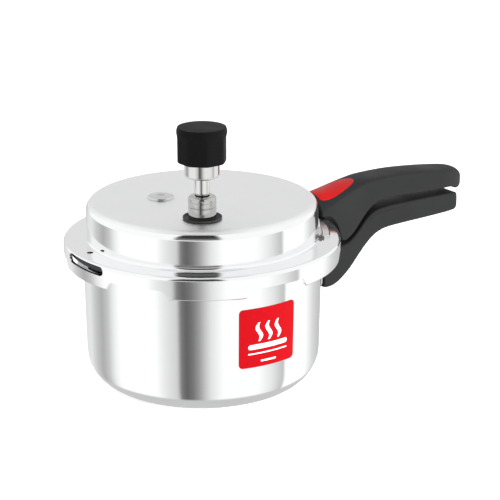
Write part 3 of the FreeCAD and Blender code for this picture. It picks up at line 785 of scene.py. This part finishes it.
def handle_insert():
    stations = spaced(*INSERT_X, 0.3, 0.9, [(94.2, 97.5), (126.0, 131.0)])
    across = 24
    verts = []
    for x in stations:
        half = INSERT_HALF(x)
        end = min(x - stations[0], stations[-1] - x)
        for j in range(across + 1):
            y = half * math.sin((2.0 * j / across - 1.0) * math.pi / 2.0)
            edge = min(half - abs(y), end)
            swell = math.sqrt(1.0 - (1.0 - min(1.0, edge / INSERT_EDGE)) ** 2)
            lift = (INSERT_PROUD + INSERT_SUNK) * swell - INSERT_SUNK
            verts.append((x, y, handle_height(x, y) + lift))
    rows = len(stations)
    columns = across + 1
    faces = grid_faces(rows, columns)
    base = len(verts)
    verts += [(x, y, z - INSERT_DEPTH) for x, y, z in verts]
    faces += [tuple(base + i for i in face[::-1]) for face in grid_faces(rows, columns)]
    rim = list(range(columns)) + [i * columns + columns - 1 for i in range(1, rows)]
    rim += [(rows - 1) * columns + j for j in range(columns - 2, -1, -1)]
    rim += [i * columns for i in range(rows - 2, 0, -1)]
    for a, b in zip(rim, rim[1:] + rim[:1]):
        faces.append((a, b, base + b, base + a))
    obj = mesh_object("lid_handle_red_insert", verts, faces, RED, 50.0)
    finish_piece(obj, "lid", "red_plastic", "lid_handle_insert")


PAN_HANDLE_HALF = through([
    (95.3, 15.4), (104.5, 15.0), (115.0, 14.1), (125.5, 13.2), (135.5, 12.6), (150.0, 12.3), (213.0, 12.25),
    (219.6, 11.8), (221.5, 11.0), (222.2, 10.2),
])
PAN_HANDLE_TOP = through([
    (95.3, 80.1), (104.5, 80.3), (112.0, 80.8), (117.0, 81.7), (121.5, 84.0), (126.4, 87.9), (130.5, 92.1),
    (134.6, 96.2), (138.4, 99.3), (142.4, 101.4), (147.4, 102.8), (154.0, 103.6), (164.0, 104.1),
    (200.0, 104.3), (215.0, 104.1), (220.8, 103.6), (222.2, 102.6),
])
PAN_HANDLE_LOW = through([
    (95.3, 51.8), (99.0, 51.0), (104.5, 51.6), (109.5, 53.6), (115.0, 57.1), (120.3, 61.5), (125.5, 66.8),
    (130.5, 72.1), (135.5, 77.0), (140.5, 81.1), (146.0, 84.3), (153.0, 86.4), (164.0, 87.4), (200.0, 88.7),
    (215.0, 89.5), (220.8, 90.2), (222.2, 91.4),
])


def pan_handle():
    first = 95.3
    last = 222.2
    chamfer = 1.5

    def half_section(x):
        pull = inset_ends(x, first, last, 1.0)
        half = PAN_HANDLE_HALF(x) - pull
        low = PAN_HANDLE_LOW(x) + pull
        top = PAN_HANDLE_TOP(x) - pull
        groove = 0.35 * smooth_step((x - 132.0) / 8.0) * smooth_step((178.0 - x) / 22.0)
        side = top - 4.4
        edge = half - 0.3
        arch = [(half, side), (half - 0.05, top - 3.6), (half - 0.1 - groove, top - 3.0),
                (half - 0.15, top - 2.4), (half - 0.2, top - 2.0)]
        for k in range(6):
            a = math.radians(18.0 * k)
            arch.append((edge - chamfer * (1.0 - math.cos(a)), top - chamfer + chamfer * math.sin(a)))
        for k in range(1, 7):
            arch.append(((edge - chamfer) * (1.0 - k / 6.0), top))
        return section(half, low, side, arch, 3.4)

    stations = spaced(first, last, 0.25, 1.5, [(95.3, 97.0), (219.6, 222.5)])
    obj = handle_mesh("pan_handle_grip", stations, half_section, BLACK)
    finish_piece(obj, "pan", "black_bakelite", "pan_handle")


# --- valve, weight and plug -------------------------------------------------------------------------

def middle(node):
    low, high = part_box(node)
    return ((low.x + high.x) / 2.0 / MM, (low.y + high.y) / 2.0 / MM)


VENT = middle("vent_tube")
PLUG = middle("safety_plug")


def vent_washer():
    z = CROWN_Z
    profile = rounded([
        (4.8, z + 0.05), (12.8, z + 0.05, 0.6), (13.3, z + 0.8, 0.5), (13.3, z + 1.7, 0.28),
        (12.75, z + 1.7, 0.28), (12.3, z + 1.1, 1.0), (10.4, z + 0.5, 1.5), (4.8, z + 0.5),
    ])
    finish_piece(lathe("vent_washer_seen", profile, RUBBER, VENT), "lid", "black_rubber", "vent_seal_washer")


def vent_collar():
    z = CROWN_Z + 0.6
    profile = rounded([
        (4.65, z), (9.5, z, 0.4), (9.5, 140.55, 0.15), (9.0, 140.85, 0.1), (9.0, 141.15, 0.1),
        (9.5, 141.45, 0.15), (9.5, 144.25, 0.1), (9.25, 144.55, 0.05), (9.5, 144.85, 0.1),
        (9.5, 148.4, 2.2), (5.0, 148.4, 0.4), (5.0, 143.6), (4.65, 143.6),
    ])
    # The darker chrome paints in the collar's dark reflections.
    obj = lathe("vent_collar_seen", profile, CHROME_PAINTED_SHADE, VENT, 128)
    finish_piece(obj, "lid", "chromed_brass", "vent_collar")


def vent_tube():
    profile = rounded([
        (1.75, 119.5), (4.5, 119.5, 0.4), (4.5, 143.8, 0.3), (3.9, 144.4, 0.2), (3.9, 147.4, 0.6),
        (5.3, 150.4, 1.5), (5.3, 168.9, 0.5), (4.9, 169.4, 0.3), (4.9, 170.0, 0.3), (3.0, 173.6, 0.3),
        (2.3, 174.0, 0.2), (1.75, 173.6),
    ])
    finish_piece(lathe("vent_tube_seen", profile, CHROME, VENT), "lid", "chromed_brass", "vent_tube")


def weight():
    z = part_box("weight_body")[0].z / MM
    body = rounded([
        (5.75, 172.4), (5.75, z, 0.5), (11.9, z, 2.6), (11.9, 183.6, 0.4), (2.15, 183.6), (2.15, 176.4),
    ], 8)
    obj = lathe("weight_metal", body, CHROME, VENT, 128)
    finish_piece(obj, "weight", "chromed_brass", "weight_body")


CAP_R = 16.7
CAP_BORE_R = 11.95
CAP_ROOF_Z = 183.7         # underside of the cap's top
CAP_GRIPS = 8
CAP_GRIP_FIRST = 4.0
CAP_GRIP_DEPTH = 0.8
CAP_SEGMENTS = 384


def cap_point(r, z, angle):
    """Point of the cap's outline with the shallow scoops taken out of its side."""
    pitch = 2.0 * math.pi / CAP_GRIPS
    away = (angle - math.radians(CAP_GRIP_FIRST) + pitch / 2.0) % pitch - pitch / 2.0
    scoop = max(0.0, math.cos(away / pitch * math.pi * 1.06)) ** 1.2
    outside = smooth_step((r - 13.5) / 1.5)
    below = smooth_step((191.4 - 1.8 * (1.0 - scoop) - z) / 1.1)
    r = r - CAP_GRIP_DEPTH * scoop * outside * below
    return VENT[0] + r * math.cos(angle), VENT[1] + r * math.sin(angle), z


def cap():
    low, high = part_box("weight_cap")
    z0 = low.z / MM
    z1 = high.z / MM - 0.03
    grip = [(CAP_R, z) for z in (176.0, 180.0, 184.0)]
    side = rounded([
        (CAP_BORE_R, CAP_ROOF_Z), (CAP_BORE_R, z0), (CAP_R, z0, 1.3), *grip, (CAP_R, 188.0, 3.0),
        (17.0, 191.6, 1.2), (17.0, 193.2, 0.3), (16.35, 195.6, 0.4), (8.0, z1 - 0.08), (0.0, z1),
    ], 7)
    verts = []
    for r, z in side:
        verts += [cap_point(r, z, 2.0 * math.pi * j / CAP_SEGMENTS) for j in range(CAP_SEGMENTS)]
    faces = grid_faces(len(side), CAP_SEGMENTS, True)
    roof = len(verts)
    verts.append((VENT[0], VENT[1], CAP_ROOF_Z))
    faces += [(roof, j, (j + 1) % CAP_SEGMENTS) for j in range(CAP_SEGMENTS)]
    obj = mesh_object("weight_cap_seen", verts, faces, CAP_BLACK, 40.0)
    finish_piece(obj, "weight", "black_bakelite", "weight_cap")


def plug():
    z = CROWN_Z + 0.05
    head = rounded([
        (2.8, 120.5), (5.95, 120.5, 0.5), (5.95, z), (9.1, z, 0.1), (9.1, z + 1.55, 0.55),
        (7.9, z + 1.75, 1.0), (6.6, z + 2.12, 2.0), (2.8, z + 2.42),
    ])
    finish_piece(lathe("safety_plug_head", head, SATIN, PLUG), "lid", "plug_metal", "safety_plug")


# --- floor, light and camera ---------------------------------------------------------------------------

CAMERA_PLACE = (-0.6524, -1.0441, 0.4910)
CAMERA_TARGET = (0.0313, -0.0131, 0.0919)
CAMERA_LENS = 132.35
CAMERA_AZIMUTH = math.atan2(CAMERA_PLACE[1], CAMERA_PLACE[0])


def camera():
    data = bpy.data.cameras.new("camera")
    data.lens = CAMERA_LENS
    data.sensor_width = 36.0
    data.clip_start = 0.05
    data.clip_end = 60.0
    obj = bpy.data.objects.new("camera", data)
    bpy.context.collection.objects.link(obj)
    obj.location = CAMERA_PLACE
    look = Vector(CAMERA_TARGET) - Vector(CAMERA_PLACE)
    obj.rotation_euler = look.to_track_quat("-Z", "Y").to_euler()
    bpy.context.scene.camera = obj


def floor():
    half = 12.0
    mesh = bpy.data.meshes.new("floor")
    corners = [(-half, -half, 0), (half, -half, 0), (half, half, 0), (-half, half, 0)]
    mesh.from_pydata(corners, [], [(0, 1, 2, 3)])
    f = Finish("pale_floor", (0.93, 0.93, 0.93), 0.9)
    speckle = f.noise(f.place, 3.0, 2.0)
    f.link(f.mix(speckle, (0.92, 0.92, 0.92), (0.94, 0.94, 0.94)), f.shader.inputs["Base Color"])
    f.set("Emission Color", (1.0, 1.0, 1.0, 1.0))
    f.set("Emission Strength", 0.45)
    mesh.materials.append(f.material)
    obj = bpy.data.objects.new("floor", mesh)
    bpy.context.collection.objects.link(obj)
    obj.location.z = -0.0002
    obj.visible_glossy = False


# Light and dark strips that stand round the object: brightness against angle. A mirror on an upright
# wall shows them. The angle is twice the one between the camera's side and the way that the mirror
# faces, in degrees round +Z, and it is positive towards the handles.
STRIPS = [
    (-180, 0.62), (-166, 0.66), (-152, 0.82), (-140, 0.85), (-126, 0.61), (-114, 0.46), (-104, 0.62),
    (-95, 0.95), (-87, 1.12), (-46, 1.12), (-40, 0.95), (-33.5, 0.83), (-25, 0.70), (-21.5, 0.22),
    (-16, 0.13), (-10, 0.20), (-4, 0.36), (1.4, 0.60), (7, 0.84), (13, 0.98), (19, 1.12), (54, 1.12),
    (70, 0.88), (84, 0.56), (86, 1.12), (117, 1.12), (133, 0.75), (150, 0.58), (180, 0.62),
]
PEAK = max(level for _, level in STRIPS)
# The table takes their place in a mirror that leans down: share against its lean in degrees.
TABLE = 0.62
TABLE_SHARE = [(-90, 1.0), (-33, 1.0), (-29, 0.0), (90, 0.0)]
# A plainer ring above the horizon: brightness against bearing, and share against height.
UPPER = [(-180, 0.80), (-150, 0.80), (-138, 1.06), (138, 1.06), (150, 0.80), (180, 0.80)]
UPPER_SHARE = [(-90, 0.0), (-5, 0.0), (0, 1.0), (90, 1.0)]
# A black card hangs over the darkest strip: how far it covers each way.
CARD = 0.04
CARD_ROUND = [(-180, 0.0), (-29, 0.0), (-25, 1.0), (15, 1.0), (20, 0.0), (180, 0.0)]
CARD_HEIGHT = [
    (-90, 0.0), (2, 0.0), (6, 0.85), (20, 0.85), (26, 1.0), (65, 1.0), (67, 0.0), (90, 0.0),
]
# The plain ceiling over everything: share against height.
CEILING = 0.78
CEILING_SHARE = [(-90, 0.0), (67, 0.0), (71, 1.0), (90, 1.0)]
# The camera looks down by about this angle.
CAMERA_RISE = math.radians(17.0)


class Sky(Nodes):
    """The world's node tree. Its levels are relative to PEAK."""

    def ramp(self, keys, reach, source, peak=1.0):
        """Grey ramp over the angles from -reach to reach degrees."""
        scaled = self.node("ShaderNodeMapRange")
        scaled.inputs["From Min"].default_value = math.radians(-reach)
        scaled.inputs["From Max"].default_value = math.radians(reach)
        self.link(source, scaled.inputs["Value"])
        ramp = self.node("ShaderNodeValToRGB")
        stops = ramp.color_ramp.elements
        while len(stops) < len(keys):
            stops.new(0.5)
        for stop, (degrees, level) in zip(stops, keys):
            stop.position = (degrees + reach) / (2.0 * reach)
            shade = level / peak
            stop.color = (shade, shade, shade, 1.0)
        self.link(scaled.outputs["Result"], ramp.inputs["Fac"])
        return ramp.outputs["Color"]

    def mix(self, factor, a, b):
        made = self.node("ShaderNodeMix")
        for socket, value in zip((made.inputs[0], made.inputs[2], made.inputs[3]), (factor, a, b)):
            self.link(value, socket)
        return made.outputs[0]

    def lower_ring(self, direction):
        """The strips and the table, by the way that a mirror faces when it shows them to the camera."""
        halfway = self.node("ShaderNodeVectorMath")
        halfway.inputs[1].default_value = (math.cos(CAMERA_RISE), 0.0, math.sin(CAMERA_RISE))
        self.link(direction, halfway.inputs[0])
        facing = self.node("ShaderNodeVectorMath", operation="NORMALIZE")
        self.link(halfway.outputs[0], facing.inputs[0])
        x, y, z = self.split(facing.outputs[0])
        angle = self.math("ARCTAN2", y, x)
        strips = self.ramp(STRIPS, 180.0, self.math("ADD", angle, angle), PEAK)
        table_share = self.ramp(TABLE_SHARE, 90.0, self.math("ARCSINE", z))
        return self.mix(table_share, strips, TABLE / PEAK)


def studio():
    world = bpy.data.worlds.new("studio")
    bpy.context.scene.world = world
    world.use_nodes = True
    world.node_tree.nodes.clear()
    sky = Sky(world.node_tree)
    turn = sky.node("ShaderNodeVectorRotate", rotation_type="Z_AXIS")
    turn.inputs["Angle"].default_value = -CAMERA_AZIMUTH
    sky.link(sky.node("ShaderNodeTexCoord").outputs["Generated"], turn.inputs["Vector"])
    direction = turn.outputs[0]
    x, y, z = sky.split(direction)
    bearing = sky.math("ARCTAN2", y, x)
    height = sky.math("ARCSINE", z)
    upper = sky.ramp(UPPER, 180.0, bearing, PEAK)
    rings = sky.mix(sky.ramp(UPPER_SHARE, 90.0, height), sky.lower_ring(direction), upper)
    covered = sky.math("MULTIPLY", sky.ramp(CARD_ROUND, 180.0, bearing), sky.ramp(CARD_HEIGHT, 90.0, height))
    carded = sky.mix(covered, rings, CARD / PEAK)
    roofed = sky.mix(sky.ramp(CEILING_SHARE, 90.0, height), carded, CEILING / PEAK)
    glow = sky.node("ShaderNodeBackground")
    glow.inputs["Strength"].default_value = PEAK
    sky.link(roofed, glow.inputs["Color"])
    sky.link(glow.outputs[0], sky.node("ShaderNodeOutputWorld").inputs["Surface"])


def softbox(name, place, target, size, power):
    """Soft light that the metal does not mirror."""
    data = bpy.data.lights.new(name, "AREA")
    data.shape = "RECTANGLE"
    data.size = size[0]
    data.size_y = size[1]
    data.energy = power
    obj = bpy.data.objects.new(name, data)
    bpy.context.collection.objects.link(obj)
    obj.location = place
    obj.rotation_euler = (Vector(target) - Vector(place)).to_track_quat("-Z", "Y").to_euler()
    obj.visible_glossy = False


camera()
floor()
studio()
softbox("key_light", (-1.2, -0.9, 2.0), (0.0, 0.0, 0.05), (1.4, 1.4), 4.0)
softbox("fill_light", (1.6, -0.6, 1.4), (0.05, 0.0, 0.05), (1.2, 1.2), 1.0)
softbox("side_light", (0.5, -1.8, 0.5), (0.15, 0.0, 0.1), (0.9, 0.6), 52.0)
bpy.context.scene.view_settings.view_transform = "Standard"

pan()
label()
lid()
sealing_ring()
lid_handle()
handle_insert()
pan_handle()
vent_washer()
vent_collar()
vent_tube()
weight()
cap()
plug()

HIDDEN_PARTS = {
    "pan_handle_bracket": STEEL, "pan_bracket_rivets": RIVET_METAL, "pan_handle_screw": STEEL,
    "lid_handle_bracket": STEEL, "lid_bracket_rivets": RIVET_METAL, "lid_handle_screw": STEEL,
    "vent_inner_washer": RUBBER, "vent_lock_nut": BRASS, "safety_plug_slug": SOLDER,
    "safety_plug_seal": RUBBER, "safety_plug_nut": BRASS, "weight_needle": STEEL,
}
for node, material in HIDDEN_PARTS.items():
    dress(node, material)
